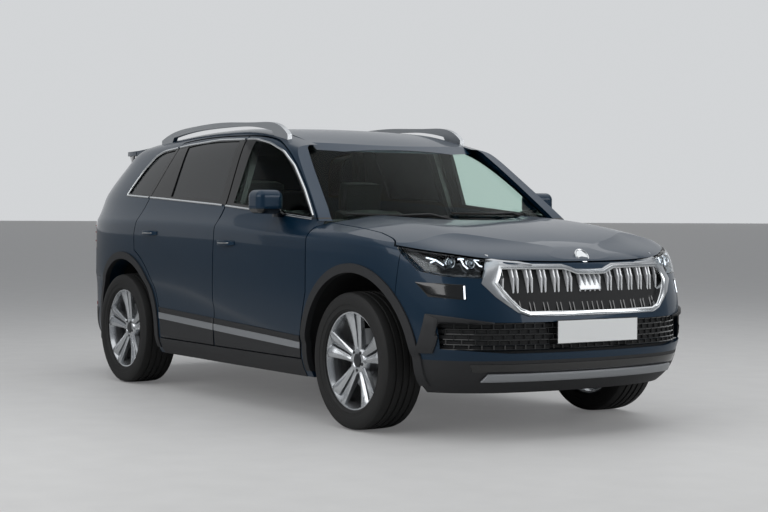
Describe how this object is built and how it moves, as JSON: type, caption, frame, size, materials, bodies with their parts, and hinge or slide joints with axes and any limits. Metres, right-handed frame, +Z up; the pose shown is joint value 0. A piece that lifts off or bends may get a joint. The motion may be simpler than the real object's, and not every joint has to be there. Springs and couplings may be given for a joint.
{
  "type": "sport utility vehicle",
  "caption": "Family sport utility vehicle with hinged doors, bonnet and tailgate, steered front wheels and turning road wheels.",
  "frame": {"origin": "on the ground, under the middle of the vehicle's length and width", "axes": "+X forward, +Y to the vehicle's left, +Z up"},
  "size_m": [4.6945, 2.088, 1.6812],
  "materials": {
    "paint": "gloss",
    "dark_trim": "matte",
    "structure": "satin",
    "clear_glass": "gloss",
    "tinted_glass": "gloss",
    "lamp": "gloss",
    "red_lamp": "gloss",
    "grille": "gloss",
    "rail": "satin",
    "alloy": "machined",
    "tyre": "matte",
    "iron": "cast",
    "upholstery": "matte",
    "interior": "matte"
  },
  "bodies": {
    "body": {"roof": "paint", "windscreen": "clear_glass", "rear_bumper": "paint", "tail_lamps": "red_lamp", "headlamps": "lamp", "front_bumper": "paint", "front_bumper_lower": "dark_trim", "grille": "grille", "lower_grille": "dark_trim", "wheel_houses": "dark_trim", "floor_pan": "structure", "front_structure": "structure", "roof_rails": "rail", "dashboard": "interior", "steering_column": "interior", "rear_seat": "upholstery", "engine": "iron", "front_cradle": "iron", "rear_axle": "iron", "left_quarter_glass": "tinted_glass", "left_body_side": "paint", "left_wing": "paint", "left_arch_claddings": "dark_trim", "left_front_seat": "upholstery", "right_quarter_glass": "tinted_glass", "right_body_side": "paint", "right_wing": "paint", "right_arch_claddings": "dark_trim", "right_front_seat": "upholstery"},
    "left_front_door": {"left_front_door": "paint", "left_front_door_glass": "clear_glass", "left_mirror": "paint"},
    "left_rear_door": {"left_rear_door": "paint", "left_rear_door_glass": "tinted_glass"},
    "left_front_knuckle": {"left_front_knuckle": "iron"},
    "left_front_wheel": {"left_front_rim": "alloy", "left_front_tyre": "tyre"},
    "left_rear_wheel": {"left_rear_rim": "alloy", "left_rear_tyre": "tyre"},
    "right_front_door": {"right_front_door": "paint", "right_front_door_glass": "clear_glass", "right_mirror": "paint"},
    "right_rear_door": {"right_rear_door": "paint", "right_rear_door_glass": "tinted_glass"},
    "right_front_knuckle": {"right_front_knuckle": "iron"},
    "right_front_wheel": {"right_front_rim": "alloy", "right_front_tyre": "tyre"},
    "right_rear_wheel": {"right_rear_rim": "alloy", "right_rear_tyre": "tyre"},
    "tailgate": {"tailgate": "paint", "rear_glass": "tinted_glass"},
    "bonnet": {"bonnet": "paint"},
    "steering_wheel": {"steering_wheel": "interior"}
  },
  "joints": [
    {"name": "left_front_door_hinge", "type": "hinge", "parent": "body", "child": "left_front_door", "pos_m": [1.015, 0.938, 0.7], "axis": [0, 0, -1], "range_deg": [0, 65]},
    {"name": "left_rear_door_hinge", "type": "hinge", "parent": "body", "child": "left_rear_door", "pos_m": [-0.084, 0.938, 0.335], "axis": [-0.0743, 0, -0.9972], "range_deg": [0, 68]},
    {"name": "left_steer", "type": "hinge", "parent": "body", "child": "left_front_knuckle", "pos_m": [1.4435, 0.698, 0.359], "axis": [0, 0, 1], "range_deg": [-33, 33]},
    {"name": "left_front_wheel_spin", "type": "hinge", "parent": "left_front_knuckle", "child": "left_front_wheel", "pos_m": [1.4435, 0.793, 0.359], "axis": [0, 1, 0], "continuous": true},
    {"name": "left_rear_wheel_spin", "type": "hinge", "parent": "body", "child": "left_rear_wheel", "pos_m": [-1.3475, 0.793, 0.359], "axis": [0, 1, 0], "continuous": true},
    {"name": "right_front_door_hinge", "type": "hinge", "parent": "body", "child": "right_front_door", "pos_m": [1.015, -0.938, 0.7], "axis": [0, 0, 1], "range_deg": [0, 65]},
    {"name": "right_rear_door_hinge", "type": "hinge", "parent": "body", "child": "right_rear_door", "pos_m": [-0.084, -0.938, 0.335], "axis": [0.0743, 0, 0.9972], "range_deg": [0, 68]},
    {"name": "right_steer", "type": "hinge", "parent": "body", "child": "right_front_knuckle", "pos_m": [1.4435, -0.698, 0.359], "axis": [0, 0, 1], "range_deg": [-33, 33]},
    {"name": "right_front_wheel_spin", "type": "hinge", "parent": "right_front_knuckle", "child": "right_front_wheel", "pos_m": [1.4435, -0.793, 0.359], "axis": [0, 1, 0], "continuous": true},
    {"name": "right_rear_wheel_spin", "type": "hinge", "parent": "body", "child": "right_rear_wheel", "pos_m": [-1.3475, -0.793, 0.359], "axis": [0, 1, 0], "continuous": true},
    {"name": "tailgate_hinge", "type": "hinge", "parent": "body", "child": "tailgate", "pos_m": [-1.99, 0, 1.555], "axis": [0, 1, 0], "range_deg": [0, 80]},
    {"name": "bonnet_hinge", "type": "hinge", "parent": "body", "child": "bonnet", "pos_m": [1.03, 0, 1.1], "axis": [0, -1, 0], "range_deg": [0, 55]},
    {"name": "steering_wheel_turn", "type": "hinge", "parent": "body", "child": "steering_wheel", "pos_m": [0.395, -0.37, 0.905], "axis": [-0.9207, 0, 0.3903], "range_deg": [-480, 480]}
  ],
  "couplings": [
    {"joint": "right_steer", "follows": "left_steer", "ratio": 1},
    {"joint": "steering_wheel_turn", "follows": "left_steer", "ratio": 14}
  ]
}
